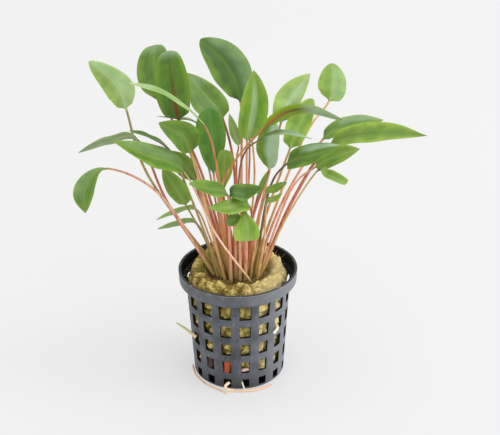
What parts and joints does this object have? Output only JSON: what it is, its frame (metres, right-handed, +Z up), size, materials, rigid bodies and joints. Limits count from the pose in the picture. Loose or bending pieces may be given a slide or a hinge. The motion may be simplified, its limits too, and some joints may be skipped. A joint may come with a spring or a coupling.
{
  "type": "potted cryptocoryne",
  "caption": "Green rosette water plant on long salmon stalks, rooted in rock wool in a black net pot.",
  "frame": {"origin": "middle of the pot's flat underside, on the surface it stands on", "axes": "+Z up along the pot's axis, +X to the right seen from the front, -Y towards the front"},
  "size_m": [0.1539, 0.0716, 0.1541],
  "materials": {
    "pot": "matte moulded plastic, worn pale along the rim",
    "rock_wool": "crumpled mustard-olive mineral fibre",
    "leaf": "soft green blade with fine veins, salmon to brown stalk",
    "root": "cream to pinkish root skin",
    "shoot": "pale green young shoot"
  },
  "bodies": {
    "root": {"pot": "pot", "rock_wool": "rock_wool", "leaf_01": "leaf", "leaf_02": "leaf", "leaf_03": "leaf", "leaf_04": "leaf", "leaf_05": "leaf", "leaf_06": "leaf", "leaf_07": "leaf", "leaf_08": "leaf", "leaf_09": "leaf", "leaf_10": "leaf", "leaf_11": "leaf", "leaf_12": "leaf", "leaf_13": "leaf", "leaf_14": "leaf", "leaf_15": "leaf", "leaf_16": "leaf", "leaf_17": "leaf", "leaf_18": "leaf", "leaf_19": "leaf", "leaf_20": "leaf", "leaf_21": "leaf", "leaf_22": "leaf", "leaf_23": "leaf", "leaf_24": "leaf", "leaf_25": "leaf", "leaf_26": "leaf", "leaf_27": "leaf", "leaf_28": "leaf", "leaf_29": "leaf", "leaf_30": "leaf", "leaf_31": "leaf", "leaf_32": "leaf", "leaf_33": "leaf", "leaf_34": "leaf", "leaf_35": "leaf", "leaf_36": "leaf", "leaf_37": "leaf", "leaf_38": "leaf", "leaf_39": "leaf", "leaf_40": "leaf", "leaf_41": "leaf", "leaf_42": "leaf", "leaf_43": "leaf", "root_front": "root", "root_left": "root", "root_right": "root", "shoot_left": "shoot"}
  },
  "joints": []
}
